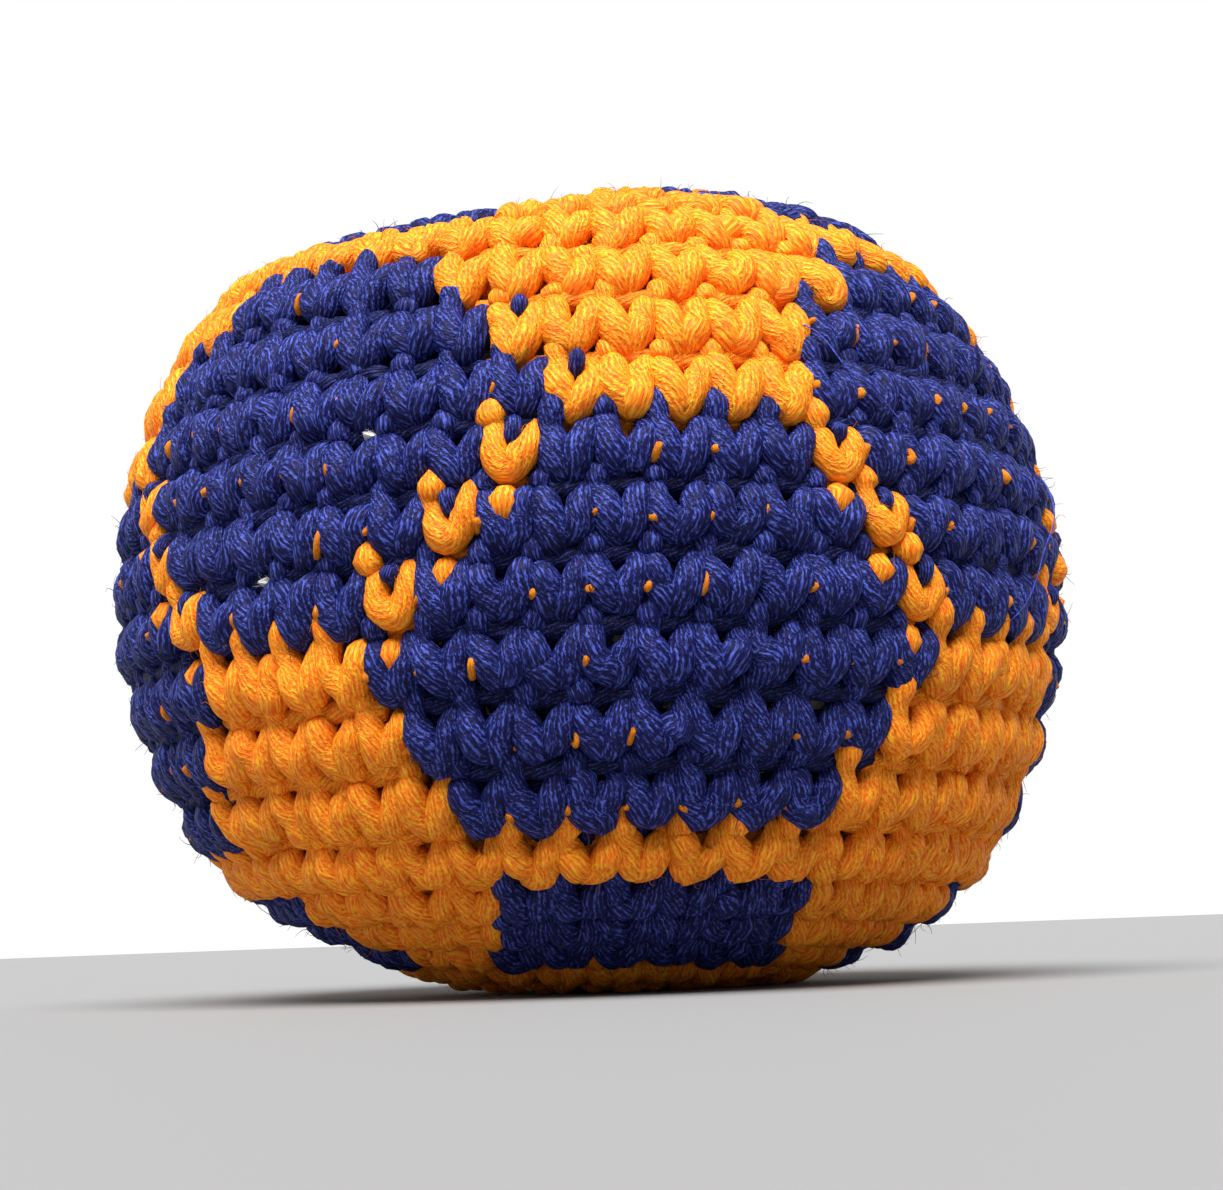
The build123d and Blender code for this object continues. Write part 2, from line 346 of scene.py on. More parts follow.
def spline_weights(samples):
    """Catmull-Rom weights that turn control points into a sampled path, samples[i] to each span."""
    count = len(samples)
    rows = []
    for span in range(count - 1):
        for step in range(int(samples[span])):
            t = step / samples[span]
            near = ((-t + 2 * t**2 - t**3) / 2, (2 - 5 * t**2 + 3 * t**3) / 2)
            far = ((t + 4 * t**2 - 3 * t**3) / 2, (-(t**2) + t**3) / 2)
            row = np.zeros(count)
            for place, weight in zip(range(span - 1, span + 3), (*near, *far)):
                row[min(max(place, 0), count - 1)] += weight
            rows.append(row)
    last = np.zeros(count)
    last[-1] = 1
    rows.append(last)
    return np.array(rows)


def unit(vectors):
    """The vectors at length 1, along their last axis."""
    return vectors / np.maximum(np.linalg.norm(vectors, axis=-1, keepdims=True), 1e-9)


PLACE_RADIUS = 0.85  # of the yarn attribute, whatever a strand's own radius
PLACE_SHIFT = 7  # along the yarn attribute, so that no two strands look the same


def tubes(centres, radii, phase, sides=18, plies=6, ply_depth=0.04, twist=0.6):
    """Many strands at once, each a closed tube with plies laid round it.

    The yarn attribute is the place of each vertex on a straight strand, for the materials.
    """
    strands, sections, _ = centres.shape
    tangent = unit(np.gradient(centres, axis=1))
    helper = np.where(np.abs(tangent[:, 0, 2:3]) > 0.8, [[1.0, 0, 0]], [[0, 0, 1.0]])
    normal = np.zeros_like(tangent)
    normal[:, 0] = unit(np.cross(tangent[:, 0], helper))
    for index in range(1, sections):
        along = tangent[:, index]
        carried = normal[:, index - 1]
        normal[:, index] = unit(carried - np.sum(carried * along, axis=1, keepdims=True) * along)
    binormal = np.cross(tangent, normal)
    steps = np.linalg.norm(np.diff(centres, axis=1), axis=2)
    length = np.concatenate([np.zeros((strands, 1)), np.cumsum(steps, axis=1)], axis=1)
    around = 2 * pi * np.arange(sides) / sides
    angle = around[None, None, :] - twist * length[:, :, None] + phase[:, None, None]
    bulge = radii[:, :, None] * (1 + ply_depth * np.cos(plies * around))[None, None, :]
    ring = centres[:, :, None, :] + bulge[..., None] * (
        np.cos(angle)[..., None] * normal[:, :, None, :] + np.sin(angle)[..., None] * binormal[:, :, None, :]
    )
    yarn = np.empty(ring.shape)
    yarn[..., 0] = np.cos(around) * PLACE_RADIUS
    yarn[..., 1] = np.sin(around) * PLACE_RADIUS
    yarn[..., 2] = length[:, :, None] + phase[:, None, None] * PLACE_SHIFT
    base = (np.arange(strands) * sections * sides)[:, None, None]
    row = (np.arange(sections - 1) * sides)[None, :, None]
    column = np.arange(sides)[None, None, :]
    after = (column + 1) % sides
    near = base + row
    far = near + sides
    quads = np.stack([near + column, near + after, far + after, far + column], axis=-1).reshape(-1, 4)
    first = base[:, :, 0] + column[0, :, ::-1]
    last = base[:, :, 0] + (sections - 1) * sides + column[0]
    return {
        "vertices": ring.reshape(-1, 3),
        "quads": quads,
        "caps": np.concatenate([first, last]),
        "yarn": yarn.reshape(-1, 3),
        "tone": np.ones(strands * sections * sides),
        "ring": ring,
    }


LEAST_HEIGHT = 0.01  # above the floor


def build_mesh(name, parts, material):
    """A piece in metres, from one or more sets of vertices and faces in millimetres."""
    mesh = bpy.data.meshes.new(name)
    vertices = np.concatenate([part["vertices"] for part in parts])
    vertices[:, 2] = np.maximum(vertices[:, 2], LEAST_HEIGHT)
    corners = []
    totals = []
    shift = 0
    for part in parts:
        for faces in (part["quads"], part["caps"]):
            corners.append((faces + shift).ravel())
            totals.append(np.full(len(faces), faces.shape[1]))
        shift += len(part["vertices"])
    corners = np.concatenate(corners).astype(np.int32)
    totals = np.concatenate(totals).astype(np.int32)
    starts = np.concatenate([[0], np.cumsum(totals)[:-1]]).astype(np.int32)
    mesh.vertices.add(len(vertices))
    mesh.vertices.foreach_set("co", (vertices * METRES).astype(np.float32).ravel())
    mesh.loops.add(len(corners))
    mesh.loops.foreach_set("vertex_index", corners)
    mesh.polygons.add(len(totals))
    mesh.polygons.foreach_set("loop_start", starts)
    mesh.polygons.foreach_set("loop_total", totals)
    mesh.polygons.foreach_set("use_smooth", np.ones(len(totals), dtype=bool))
    place = mesh.attributes.new("yarn", "FLOAT_VECTOR", "POINT")
    place.data.foreach_set("vector", np.concatenate([p["yarn"] for p in parts]).astype(np.float32).ravel())
    tone = mesh.attributes.new("tone", "FLOAT", "POINT")
    tone.data.foreach_set("value", np.concatenate([p["tone"] for p in parts]).astype(np.float32))
    mesh.update(calc_edges=True)
    mesh.validate()
    mesh.materials.append(material)
    piece = bpy.data.objects.new(name, mesh)
    bpy.context.scene.collection.objects.link(piece)
    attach(piece, "root")
    return piece


FIBRE_POINTS = 5
FIBRE_SHORTEST = 0.3
FIBRE_RADII = (0.028, 0.010)  # root and end
FIBRE_ROOT = 0.05  # how far it starts inside the strand
FIBRE_CLEARANCE = 0.1  # above the floor
# Painted sheen: loose fibres are painted a quarter lighter than their yarn, for the light they catch.
FIBRE_PAINTED_SHEEN = 1.25


def fuzz(source, count, longest=1.1):
    """Short loose fibres that stand off the strands: thin closed tubes that bend away."""
    ring = source["ring"]
    strands, sections, sides, _ = ring.shape
    strand = rng.integers(0, strands, count)
    section = rng.integers(1, sections - 1, count)
    side = rng.integers(0, sides, count)
    root = ring[strand, section, side]
    outward = unit(root - ring[strand, section].mean(axis=1))
    along = unit(ring[strand, section + 1, side] - ring[strand, section - 1, side])
    standing = outward * rng.uniform(0.3, 1.0, (count, 1))
    lying = along * rng.choice([-1, 1], (count, 1))
    lean = unit(standing + lying + rng.normal(0, 0.3, (count, 3)))
    bend = unit(along + rng.normal(0, 0.6, (count, 3)))
    length = rng.uniform(FIBRE_SHORTEST, longest, (count, 1, 1))
    t = np.linspace(0, 1, FIBRE_POINTS)[None, :, None]
    course = lean[:, None, :] * t * (1 - 0.4 * t) + 0.5 * bend[:, None, :] * t**2
    centres = root[:, None, :] + length * course
    centres -= outward[:, None, :] * FIBRE_ROOT
    centres = centres[centres[..., 2].min(axis=1) > FIBRE_CLEARANCE]
    radii = np.linspace(*FIBRE_RADII, FIBRE_POINTS)[None, :].repeat(len(centres), axis=0)
    hairs = tubes(centres, radii, np.zeros(len(centres)), sides=3, plies=1, ply_depth=0.0, twist=0.0)
    hairs["tone"] *= FIBRE_PAINTED_SHEEN
    return hairs


# ---------------------------------------------------------------- materials
STRANDS_ROUND = 16  # fine strands seen round one yarn


def new_material(name):
    """A material with its nodes, its links and its shader."""
    material = bpy.data.materials.new(name)
    material.use_nodes = True
    tree = material.node_tree
    return material, tree.nodes, tree.links, tree.nodes["Principled BSDF"]


def attribute(nodes, name):
    """A node that reads one of the attributes that build_mesh stores."""
    node = nodes.new("ShaderNodeAttribute")
    node.attribute_name = name
    return node


def math_maker(nodes, links):
    """A function that adds a Math node on two sockets or numbers and gives its output."""

    def math(operation, first, second=0.0):
        node = nodes.new("ShaderNodeMath")
        node.operation = operation
        for socket, value in zip(node.inputs, (first, second)):
            if isinstance(value, (int, float)):
                socket.default_value = value
            else:
                links.new(value, socket)
        return node.outputs[0]

    return math


def colour_ramp(nodes, first, last):
    """A ramp between two stops, each a position and a colour."""
    ramp = nodes.new("ShaderNodeValToRGB")
    for stop, (position, colour) in zip(ramp.color_ramp.elements, (first, last)):
        stop.position = position
        stop.color = (*colour, 1)
    return ramp


def add_bump(nodes, links, shader, height, strength, distance):
    """Bump from a height, on the shader's normal."""
    bump = nodes.new("ShaderNodeBump")
    bump.inputs["Strength"].default_value = strength
    bump.inputs["Distance"].default_value = distance
    links.new(height, bump.inputs["Height"])
    links.new(bump.outputs["Normal"], shader.inputs["Normal"])


def yarn_material(name, painted_shade, body, painted_highlight, roughness, gloss):
    """Plied yarn: the plies and the fibres on them give the bump and the gloss, and a colour with painted
    shade where the relief is low and painted highlights where it is high.
    """
    material, nodes, links, shader = new_material(name)
    place = attribute(nodes, "yarn")
    tone = attribute(nodes, "tone")
    math = math_maker(nodes, links)

    def stretched_noise(scale, detail):
        stretch = nodes.new("ShaderNodeMapping")
        stretch.inputs["Scale"].default_value = scale
        links.new(place.outputs["Vector"], stretch.inputs["Vector"])
        noise = nodes.new("ShaderNodeTexNoise")
        noise.inputs["Scale"].default_value = 1.0
        noise.inputs["Detail"].default_value = detail
        links.new(stretch.outputs["Vector"], noise.inputs["Vector"])
        return noise.outputs["Fac"]

    parts = nodes.new("ShaderNodeSeparateXYZ")
    links.new(place.outputs["Vector"], parts.inputs["Vector"])
    turn = math("ARCTAN2", parts.outputs["Y"], parts.outputs["X"])
    sway = math("MULTIPLY", stretched_noise((1.6, 1.6, 1.2), 0.0), 8.0)
    crest = math("COSINE", math("ADD", math("MULTIPLY", turn, STRANDS_ROUND), sway))
    crest = math("MULTIPLY_ADD", crest, 0.5)
    crest.node.inputs[2].default_value = 0.5
    dashes = stretched_noise((10.0, 10.0, 6.0), 1.0)
    fibres = stretched_noise((2.6, 2.6, 2.2), 1.0)
    relief = math("ADD", math("MULTIPLY", crest, 0.13), math("MULTIPLY", dashes, 0.57))
    relief = math("ADD", relief, math("MULTIPLY", fibres, 0.30))
    # The colour follows the relief: painted shade in the low parts, the body colour between, and painted
    # highlight strokes on the crests and dashes.
    ramp = colour_ramp(nodes, (0.36, painted_shade), (0.66, painted_highlight))
    middle = ramp.color_ramp.elements.new(0.51)
    middle.color = (*body, 1)
    links.new(relief, ramp.inputs["Fac"])
    # The tone attribute scales the brightness: random stitch tone, painted valley shade, painted shade on
    # the carried strand and painted sheen on loose fibres.
    vary = nodes.new("ShaderNodeHueSaturation")
    links.new(ramp.outputs["Color"], vary.inputs["Color"])
    links.new(tone.outputs["Fac"], vary.inputs["Value"])
    links.new(vary.outputs["Color"], shader.inputs["Base Color"])
    add_bump(nodes, links, shader, relief, 0.8, 0.00025)
    shader.inputs["Roughness"].default_value = roughness
    shader.inputs["Specular IOR Level"].default_value = gloss
    shader.inputs["Sheen Weight"].default_value = 0.10
    shader.inputs["Sheen Roughness"].default_value = 0.5
    shader.inputs["Sheen Tint"].default_value = (*painted_highlight, 1)
    return material


# Each yarn: painted shade, body colour and painted highlight.
orange_yarn = yarn_material(
    "orange_yarn",
    painted_shade=(0.80, 0.130, 0.010),
    body=(0.98, 0.262, 0.014),
    painted_highlight=(1.0, 0.52, 0.03),
    roughness=0.5,
    gloss=0.12,
)
navy_yarn = yarn_material(
    "navy_yarn",
    painted_shade=(0.005, 0.0055, 0.038),
    body=(0.009, 0.011, 0.082),
    painted_highlight=(0.075, 0.105, 0.48),
    roughness=0.5,
    gloss=0.1,
)
YARNS = {True: (orange_yarn, "orange_yarn"), False: (navy_yarn, "navy_yarn")}

# ---------------------------------------------------------------- the cover
FIBRES_PER_STITCH = 24
LONGEST_COVER_FIBRE = 1.5
LEAST_YARN_RADIUS = 0.1
VALLEY_PAINTED_SHADE = {True: 0.12, False: 0.55}  # painted shade: of the tone that orange and navy lose low in a valley
VALLEY_FROM = 0.48
VALLEY_SPAN = 0.22
PARTED_VALLEY = 0.2  # of that painted shade, where the round below has the other colour
CARRIED_ROUNDS = range(8, 17)
CARRIED_SHARE = 0.62  # of the navy stitches in them


def lay_paths(path, stitches, wobble):
    """One strand along a path for each stitch, laid on the ball: centres, radii and heights in stitches."""
    count = len(stitches)
    points = np.repeat(path[None, :, :4], count, axis=0)
    if path is STITCH_PATH:
        raised = np.array([stitch.raised for stitch in stitches], dtype=float)[:, None, None]
        points[:, FLAME_POINTS] += raised * FLAME_RAISE
        sinks = [0.0 if stitch.parted else ORANGE_TIP_SINK if stitch.orange else 1.0 for stitch in stitches]
        points[:, TIP_POINTS] += np.array(sinks)[:, None, None] * TIP_SINK
    points = points + rng.normal(0, 1, points.shape) * np.array(wobble)
    sampled = np.einsum("kc,scd->skd", spline_weights(path[:, 4]), points)
    number = np.array([stitch.round for stitch in stitches], dtype=float)[:, None]
    azimuth = np.array([stitch.azimuth for stitch in stitches])[:, None]
    width = np.array([stitch.width for stitch in stitches])[:, None]
    across = sampled[..., 0] + LEAN * sampled[..., 1]
    centres = on_ball(azimuth + across * width, number + sampled[..., 1], sampled[..., 2])
    return centres, np.maximum(sampled[..., 3], LEAST_YARN_RADIUS), sampled[..., 1]


def cover_piece(area, orange, stitches):
    """One colour area of the cover: the strands of its stitches, the bars behind them and loose fibres."""
    count = len(stitches)
    phase = rng.uniform(0, 2 * pi, count)
    random_tone = rng.normal(1, 0.05, count)
    parts = []
    stitch_path = SEAM_PATH if area == "belt_lines" else STITCH_PATH
    for path in (stitch_path, LOWER_BAR, PARTED_BAR, UPPER_BAR):
        held = stitches
        if path is LOWER_BAR:
            held = [stitch for stitch in stitches if not stitch.parted]
        if path is PARTED_BAR:
            held = [stitch for stitch in stitches if stitch.parted]
        if not held:
            continue
        centres, radii, rise = lay_paths(path, held, COVER_WOBBLE)
        if path is stitch_path:
            strand = tubes(centres, radii, phase)
        else:
            strand = tubes(centres, radii, phase[: len(held)], sides=12, plies=6)
        # Painted shade: the strands darken low in the valley between two rounds, less where the round below
        # has the other colour; the random tone differs from stitch to stitch.
        valley_shade = VALLEY_PAINTED_SHADE[orange] * np.clip((VALLEY_FROM - rise) / VALLEY_SPAN, 0, 1)
        valley_shade[[stitch.parted for stitch in held]] *= PARTED_VALLEY
        tone = random_tone[: len(held), None] * (1 - valley_shade)
        strand["tone"] *= np.repeat(tone.ravel(), strand["ring"].shape[2])
        parts.append(strand)
    parts.append(fuzz(parts[0], count * FIBRES_PER_STITCH, LONGEST_COVER_FIBRE))
    material, slot = YARNS[orange]
    piece = build_mesh(f"cover_{area}", parts, material)
    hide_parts(area)


def carried_yarn(path, stitches, wobble, orange, tone, sides, plies):
    """The resting strand of one colour, where it peeps out of some stitches."""
    centres, radii, _ = lay_paths(path, stitches, wobble)
    phase = rng.uniform(0, 2 * pi, len(stitches))
    specks = tubes(centres, radii, phase, sides=sides, plies=plies, ply_depth=0.06)
    specks["tone"] *= tone
    material, slot = YARNS[orange]
    build_mesh(f"carried_{slot}", [specks], material)


def at_left_edge(stitch):
    """Whether a stitch is the first from the left in round 14 or 15 of an upper pentagon."""
    if not stitch.area.startswith("upper_pentagon") or stitch.round not in (14, 15):
        return False
    offset = (degrees(stitch.azimuth) + 45) % 90 - 45 + UPPER_PENTAGON_HALF[stitch.round]
    return offset < degrees(stitch.width)


layout = lay_out()
areas = {}
for stitch in layout:
    areas.setdefault((stitch.area, stitch.orange), []).append(stitch)
for (area, orange), stitches in sorted(areas.items()):
    cover_piece(area, orange, stitches)
belt = [stitch for stitch in layout if stitch.round in CARRIED_ROUNDS and not stitch.orange]
beside = [stitch for stitch in belt if rng.random() < CARRIED_SHARE]
# Painted shade: the carried orange strand is painted 15 % darker where it lies between the stitches.
carried_yarn(CARRIED, beside, CARRIED_WOBBLE, True, tone=0.85, sides=10, plies=3)
between = [stitch for stitch in layout if at_left_edge(stitch) or stitch.area == "belt_lines"]
carried_yarn(PEEP, between, PEEP_WOBBLE, False, tone=1.0, sides=12, plies=4)

# Loose hairs: azimuth and level of both ends, how far the middle stands off, bow sideways
STRAYS = (
    (17, 15.6, 31, 13.6, 1.3, -2.5),
    (61, 13.9, 45, 11.3, 1.6, -3.0),
    (150, 14.0, 165, 12.5, 1.1, 3.0),
    (200, 9.0, 212, 10.4, 1.3, -2.0),
)
STRAY_POINTS = 24
STRAY_RADIUS = 0.045
STRAY_SINK = 0.3  # both ends lie inside the cover
# Painted highlight: the stray navy fibres are painted five times lighter, as lit strands.
STRAY_PAINTED_HIGHLIGHT = 5.0


def stray_hairs():
    """A few long loose fibres that lie off the cover in a bow."""
    t = np.linspace(0, 1, STRAY_POINTS)
    arch = np.sin(pi * t)
    paths = []
    for azimuth, level, azimuth_end, level_end, rise, bow in STRAYS:
        across = np.radians(azimuth + (azimuth_end - azimuth) * t + bow * arch + 0.5 * np.sin(9 * t))
        upwards = level + (level_end - level) * t + 0.06 * np.sin(13 * t)
        paths.append(on_ball(across, upwards, rise * arch - STRAY_SINK))
    radii = np.full((len(STRAYS), STRAY_POINTS), STRAY_RADIUS)
    hairs = tubes(np.array(paths), radii, np.zeros(len(STRAYS)), sides=5, plies=1, ply_depth=0.0, twist=0.0)
    hairs["tone"] *= STRAY_PAINTED_HIGHLIGHT
    build_mesh("stray_navy_fibres", [hairs], navy_yarn)


stray_hairs()

# ---------------------------------------------------------------- inside the cover
COVER_THICKNESS = 2.6
YARN_RADIUS = 0.85
COVER_TOP = CENTRE_Z + CROWN_HEIGHT
LINER_TOP = 48.0
NECK_RADIUS = 3.0
NECK_HEIGHT = 2.5
FLOOR_LEVEL = COVER_THICKNESS + YARN_RADIUS + 0.75  # on the inside of the bottom
BAG_LEVEL = LINER_TOP + YARN_RADIUS + 0.05  # between the bag and the top, where the cover isn't slack
CROWN_LEVEL = COVER_TOP - COVER_THICKNESS - YARN_RADIUS - 0.1  # right under the top of the cover
UNDER_COVER = -3.85
TOP_LEVELS = np.linspace(19, 24.9, 120)


def under_cover(azimuth, reach):
    """The height at which a strand at each azimuth and radius lies under the slack top of the cover."""
    points = on_ball(azimuth[:, None], TOP_LEVELS[None, :], UNDER_COVER)
    nearest = np.argmin(np.abs(np.hypot(points[..., 0], points[..., 1]) - reach[:, None]), axis=1)
    return points[np.arange(len(azimuth)), nearest, 2]


INNER_FIBRES = 40


def inner_strand(node, radius, level, start, turn, orange):
    """A loop inside the ball, or a yarn end, which wavers a little: an arc about the axis."""
    count = max(24, int(turn / 5))
    azimuth = np.radians(start + np.linspace(0, turn, count))
    waver = 0.0 if turn >= 360 else 0.12
    reach = radius + waver * np.sin(azimuth * 5)
    high = np.full(count, level)
    if level == BAG_LEVEL:
        high = np.minimum(high, under_cover(azimuth, reach))
    centres = np.stack([reach * np.sin(azimuth), -reach * np.cos(azimuth), high], axis=1)[None]
    radii = np.full((1, count), YARN_RADIUS * 0.96)
    if turn < 360:
        radii[0, :2] *= (0.55, 0.9)
        radii[0, -2:] *= (0.9, 0.55)
    strand = tubes(centres, radii, rng.uniform(0, 2 * pi, 1), sides=36, plies=4, ply_depth=0.10, twist=0.9)
    material, slot = YARNS[orange]
    piece = build_mesh(f"inner_{node}", [strand, fuzz(strand, INNER_FIBRES)], material)
    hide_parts(node)


inner_strand("start_ring", 1.75, FLOOR_LEVEL, 0, 372, True)
inner_strand("orange_start_tail", 5.6, FLOOR_LEVEL, 20, 230, True)
inner_strand("navy_start_tail", 9.2, FLOOR_LEVEL, 150, 190, False)
inner_strand("closing_loop", 2.2, CROWN_LEVEL, 0, 370, True)
inner_strand("orange_end_tail", 7.2, BAG_LEVEL, 60, 260, True)
inner_strand("navy_end_tail", 10.4, BAG_LEVEL, 200, 170, False)


def cloth_material(name, painted_shade, painted_highlight, column, course):
    """Fine knit: columns of small V stitches in the bag, or the lay of a thread, with painted shade in its
    hollows, painted highlight on its raised parts and random tone.
    """
    material, nodes, links, shader = new_material(name)
    place = attribute(nodes, "yarn")
    math = math_maker(nodes, links)
    parts = nodes.new("ShaderNodeSeparateXYZ")
    links.new(place.outputs["Vector"], parts.inputs["Vector"])
    across = math("MULTIPLY", parts.outputs["X"], 2 * pi / column)
    ribs = math("ABSOLUTE", math("SINE", math("MULTIPLY", across, 0.5)))
    rise = math("MULTIPLY", parts.outputs["Y"], 2 * pi / course)
    legs = math("SINE", math("ADD", rise, math("MULTIPLY", ribs, 3.0)))
    noise = nodes.new("ShaderNodeTexNoise")
    noise.inputs["Scale"].default_value = 1.7
    noise.inputs["Detail"].default_value = 3.0
    links.new(place.outputs["Vector"], noise.inputs["Vector"])
    relief = math("ADD", math("MULTIPLY", legs, 0.2), math("MULTIPLY", ribs, 0.35))
    relief = math("ADD", relief, math("MULTIPLY", noise.outputs["Fac"], 0.5))
    # Painted shade in the hollows of the knit, painted highlight on its raised parts, random tone from the
    # noise.
    ramp = colour_ramp(nodes, (0.15, painted_shade), (0.75, painted_highlight))
    links.new(relief, ramp.inputs["Fac"])
    links.new(ramp.outputs["Color"], shader.inputs["Base Color"])
    add_bump(nodes, links, shader, relief, 0.7, 0.0003)
    shader.inputs["Roughness"].default_value = 0.85
    shader.inputs["Specular IOR Level"].default_value = 0.15
    return material


liner_knit = cloth_material("liner_knit", (0.42, 0.40, 0.36), (0.80, 0.78, 0.72), column=1.0, course=0.8)
tie_thread = cloth_material("tie_thread", (0.35, 0.33, 0.28), (0.75, 0.72, 0.64), column=0.9, course=0.5)

BAG_DEPTH = -3.05
BAG_CLOTH = 0.4
BAG_SIDES = 180
BAG_LEVELS = np.linspace(1.2, 22.2, 110)
BAG_FOOT = 5.9
BAG_COLUMNS_REACH = 28  # radius at which the columns of the knit have their real width
NECK_INSIDE = NECK_RADIUS - 0.35
TAIL_ROOM = 1.75  # the worked-in yarn ends lie between the top of the bag and the cover
TAIL_ROOM_FROM = 19.5
TAIL_ROOM_SPAN = 1.5
PLEATS = 18


def bag_surface(inset):
    """Rings of the bag, offset inwards: the oval body, the gathered shoulder and the neck."""
    azimuth = 2 * pi * np.arange(BAG_SIDES) / BAG_SIDES
    pleats = np.cos(PLEATS * azimuth)
    levels = BAG_LEVELS[:, None]
    room = TAIL_ROOM * np.clip((levels - TAIL_ROOM_FROM) / TAIL_ROOM_SPAN, 0, 1)
    body = on_ball(azimuth[None, :], levels, BAG_DEPTH - inset - room + np.zeros((len(levels), BAG_SIDES)))
    body[..., 2] = np.clip(body[..., 2], BAG_FOOT + inset, LINER_TOP - 0.1 - inset)
    shoulder_radius = np.hypot(body[-1, :, 0], body[-1, :, 1]).mean()
    rings = [body]
    for step in np.linspace(0.08, 1, 16):
        reach = shoulder_radius * (1 - step) + (NECK_INSIDE - inset) * step
        pleat = 1 + 0.05 * step * pleats
        high = np.full(BAG_SIDES, body[-1, :, 2].mean()) + 0.10 * step * pleats
        ring = [reach * pleat * np.sin(azimuth), -reach * pleat * np.cos(azimuth), high]
        rings.append(np.stack(ring, axis=-1)[None])
    for step in np.linspace(0.15, 1, 10):
        waist = 0.28 * sin(pi * step)
        flare = (NECK_INSIDE - inset - waist) * (1 + 0.07 * pleats)
        high = np.full(BAG_SIDES, LINER_TOP + NECK_HEIGHT * step - 0.15)
        rings.append(np.stack([flare * np.sin(azimuth), -flare * np.cos(azimuth), high], axis=-1)[None])
    return np.concatenate(rings)


def inner_bag():
    """The tied bag that holds the pellets: a shell with an outside and an inside, open at the neck."""
    outside = bag_surface(0.0)
    inside = bag_surface(BAG_CLOTH)
    shell = np.concatenate([outside, inside[::-1]])
    rings = len(shell)
    column = np.arange(BAG_SIDES)
    after = (column + 1) % BAG_SIDES
    row = (np.arange(rings - 1) * BAG_SIDES)[:, None]
    quads = np.stack([row + column, row + after, row + BAG_SIDES + after, row + BAG_SIDES + column], axis=-1)
    caps = np.stack([column[::-1], (rings - 1) * BAG_SIDES + column])
    steps = np.linalg.norm(np.diff(shell[:, 0], axis=0), axis=1)
    along = np.concatenate([[0], np.cumsum(steps)])
    yarn = np.zeros((rings, BAG_SIDES, 3))
    yarn[..., 0] = BAG_COLUMNS_REACH * 2 * pi * column / BAG_SIDES
    yarn[..., 1] = along[:, None]
    part = {
        "vertices": shell.reshape(-1, 3),
        "quads": quads.reshape(-1, 4),
        "caps": caps,
        "yarn": yarn.reshape(-1, 3),
        "tone": np.ones(rings * BAG_SIDES),
    }
    piece = build_mesh("inner_bag", [part], liner_knit)
    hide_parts("liner_bag")


inner_bag()

# Where the cover is worked a little loose, a tuft of the bag shows between two rounds: azimuth, round
SHOW_THROUGH = ((-32.5, 14), (-49.5, 12), (118.0, 13), (209.0, 12))


def liner_tufts():
    """Small tufts of the bag's cloth that are pushed out between the stitches."""
    spots = []
    for place, number in SHOW_THROUGH:
        in_round = [stitch for stitch in layout if stitch.round == number]
        spots.append(min(in_round, key=lambda stitch: abs(sin(stitch.azimuth / 2 - radians(place) / 2))))
    azimuth = np.array([stitch.azimuth + 0.27 * stitch.width for stitch in spots])[:, None]
    level = np.array([stitch.round + 0.06 for stitch in spots])[:, None]
    step = np.linspace(0, 1, 7)[None, :]
    centres = on_ball(azimuth + 0.008 * np.sin(5 * step), level + 0.02 * step, -2.9 + 2.45 * step)
    radii = 0.36 * np.sqrt(1.04 - step**4) * np.ones_like(azimuth)
    tufts = tubes(centres, radii, np.zeros(len(SHOW_THROUGH)), sides=14, plies=4, ply_depth=0.12, twist=1.0)
    build_mesh("liner_show_through", [tufts, fuzz(tufts, 120, 0.7)], liner_knit)


liner_tufts()

TIE_RADIUS = 0.36
TIE_REACH = NECK_RADIUS + 0.43
TIE_TURNS = 3
TIE_RISE = 1.2
TIE_POINTS = 160


def neck_tie():
    """The thread that is wound round the neck of the bag."""
    angle = np.linspace(0, 2 * pi * TIE_TURNS, TIE_POINTS)
    height = LINER_TOP + 0.5 + TIE_RISE * angle / angle[-1]
    centres = np.stack([TIE_REACH * np.sin(angle), -TIE_REACH * np.cos(angle), height], axis=1)[None]
    radii = np.full((1, TIE_POINTS), TIE_RADIUS)
    thread = tubes(centres, radii, np.zeros(1), sides=14, plies=3, ply_depth=0.12, twist=1.6)
    piece = build_mesh("inner_tie_thread", [thread], tie_thread)
    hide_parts("liner_tie")


neck_tie()


def pellet_material():
    """Clouded plastic with fine scuffs."""
    material, nodes, links, shader = new_material("pellet_plastic_worn")
    place = nodes.new("ShaderNodeTexCoord")
    noise = nodes.new("ShaderNodeTexNoise")
    noise.inputs["Scale"].default_value = 260.0
    noise.inputs["Detail"].default_value = 4.0
    links.new(place.outputs["Object"], noise.inputs["Vector"])
    ramp = colour_ramp(nodes, (0.35, (0.58, 0.60, 0.60)), (0.65, (0.80, 0.81, 0.79)))
    links.new(noise.outputs["Fac"], ramp.inputs["Fac"])
    links.new(ramp.outputs["Color"], shader.inputs["Base Color"])
    add_bump(nodes, links, shader, noise.outputs["Fac"], 0.3, 0.0001)
    shader.inputs["Roughness"].default_value = 0.42
    return material


# The pellets keep their CAD shape and get their own plastic
pellet_plastic = pellet_material()
for material_slot in bpy.data.objects["filling_pellets"].material_slots:
    material_slot.material = pellet_plastic

# ---------------------------------------------------------------- floor, light and camera
FLOOR_REACH = 6  # metres
FLOOR_SIDES = 48

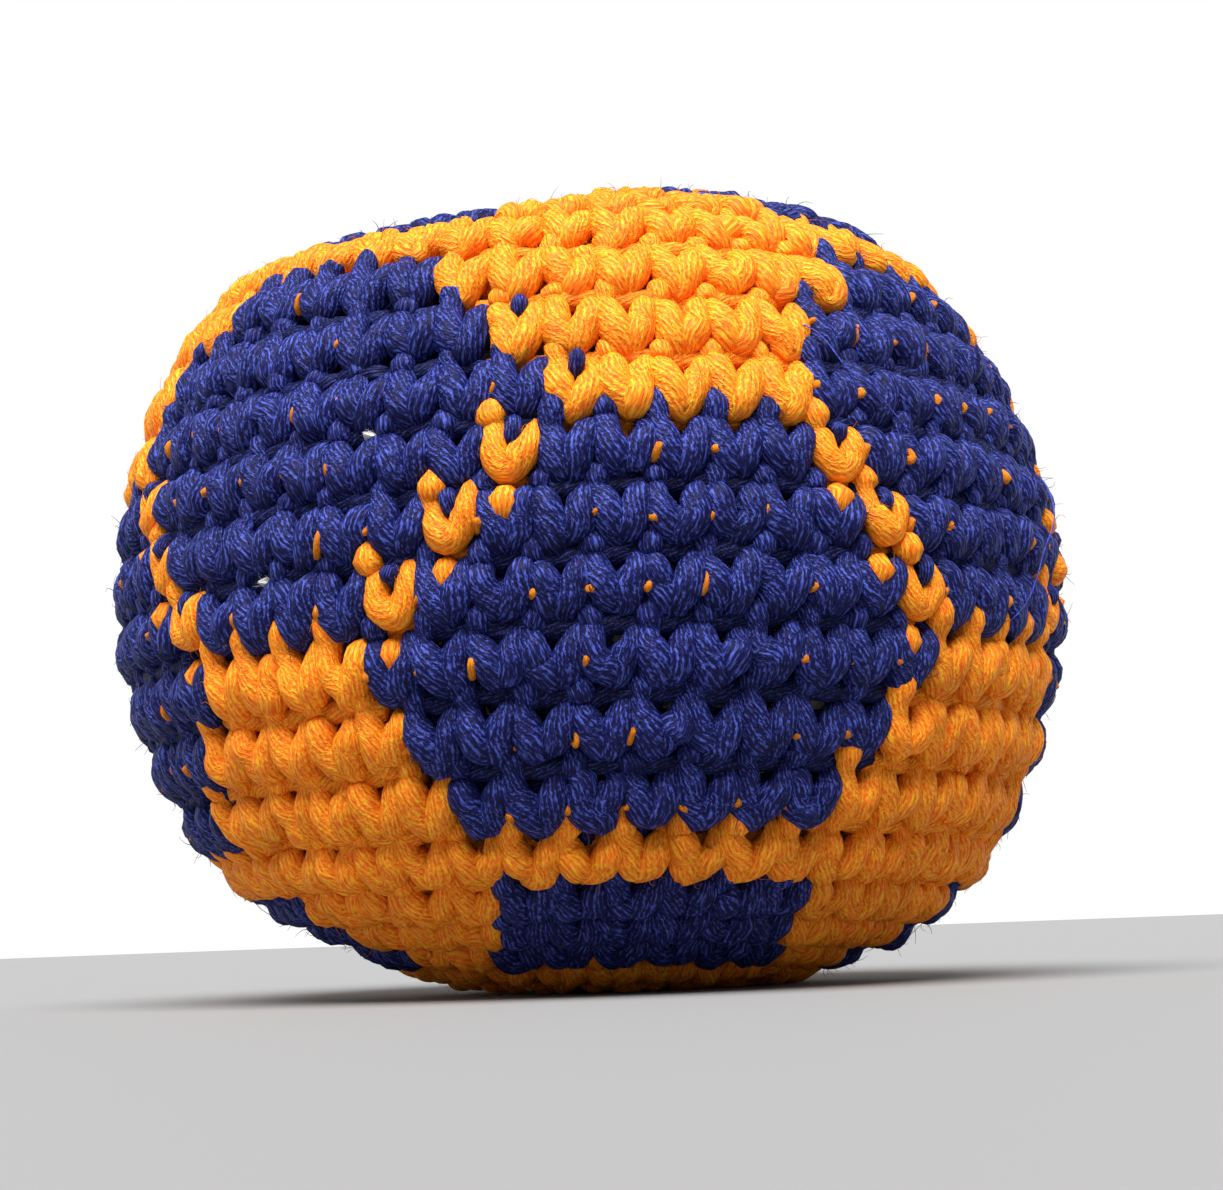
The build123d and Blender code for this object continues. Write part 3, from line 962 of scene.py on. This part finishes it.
pale, _, _, pale_shader = new_material("pale_floor")
pale_shader.inputs["Base Color"].default_value = (0.24, 0.24, 0.24, 1)
pale_shader.inputs["Roughness"].default_value = 0.8
floor_mesh = bpy.data.meshes.new("studio_floor")
floor_angles = [2 * pi * step / FLOOR_SIDES for step in range(FLOOR_SIDES)]
floor_corners = [(FLOOR_REACH * cos(angle), FLOOR_REACH * sin(angle), 0) for angle in floor_angles]
floor_mesh.from_pydata(floor_corners, [], [tuple(range(FLOOR_SIDES))])
floor = bpy.data.objects.new("studio_floor", floor_mesh)
bpy.context.scene.collection.objects.link(floor)
floor.data.materials.append(pale)


def light_room():
    """A white room: dimmer overhead, and dimmer in front of the ball than behind it."""
    world = bpy.data.worlds.new("studio")
    bpy.context.scene.world = world
    world.use_nodes = True
    nodes = world.node_tree.nodes
    links = world.node_tree.links
    direction = nodes.new("ShaderNodeTexCoord")
    axes = nodes.new("ShaderNodeSeparateXYZ")
    links.new(direction.outputs["Generated"], axes.inputs["Vector"])

    def fade(axis, from_min, from_max, to_min, to_max):
        node = nodes.new("ShaderNodeMapRange")
        node.inputs["From Min"].default_value = from_min
        node.inputs["From Max"].default_value = from_max
        node.inputs["To Min"].default_value = to_min
        node.inputs["To Max"].default_value = to_max
        links.new(axes.outputs[axis], node.inputs["Value"])
        return node.outputs["Result"]

    overhead = fade("Z", 0.38, 0.55, 1.0, 0.3)
    front = fade("Y", -0.5, 0.05, 0.12, 1.0)
    strength = math_maker(nodes, links)("MULTIPLY", overhead, front)
    links.new(strength, nodes["Background"].inputs["Strength"])
    nodes["Background"].inputs["Color"].default_value = (1, 1, 1, 1)


bpy.context.scene.view_settings.view_transform = "Standard"
light_room()

KEY_FROM = Vector((-0.25, -0.75, 1.5))
key = bpy.data.lights.new("soft_key", "SUN")
key.energy = 7.3
key.angle = radians(50)
key_lamp = bpy.data.objects.new("soft_key", key)
bpy.context.scene.collection.objects.link(key_lamp)
key_lamp.rotation_euler = (-KEY_FROM).to_track_quat("-Z", "Y").to_euler()

CAMERA_DISTANCE = 0.172
CAMERA_AZIMUTH = radians(-9.5)
CAMERA_ELEVATION = radians(-7.8)
CAMERA_ROLL = radians(-2.1)
CAMERA_LENS = 73.0
CAMERA_ASIDE = 0.00142
CAMERA_RAISED = 0.00015


def place_camera():
    """A camera a little to the left of the front, from below the middle of the ball."""
    ball_centre = Vector((0, 0, CENTRE_Z * METRES))
    towards = Vector(
        (
            cos(CAMERA_ELEVATION) * sin(CAMERA_AZIMUTH),
            -cos(CAMERA_ELEVATION) * cos(CAMERA_AZIMUTH),
            sin(CAMERA_ELEVATION),
        )
    )
    camera_data = bpy.data.cameras.new("camera")
    camera = bpy.data.objects.new("camera", camera_data)
    bpy.context.scene.collection.objects.link(camera)
    bpy.context.scene.camera = camera
    camera_data.sensor_width = 36
    camera_data.lens = CAMERA_LENS
    camera_data.clip_start = 0.01
    aim = (-towards).to_track_quat("-Z", "Y").to_matrix().to_4x4() @ Matrix.Rotation(CAMERA_ROLL, 4, "Z")
    right = aim.to_3x3() @ Vector((1, 0, 0))
    up = aim.to_3x3() @ Vector((0, 1, 0))
    position = ball_centre + towards * CAMERA_DISTANCE + right * CAMERA_ASIDE + up * CAMERA_RAISED
    camera.matrix_world = Matrix.Translation(position) @ aim


place_camera()
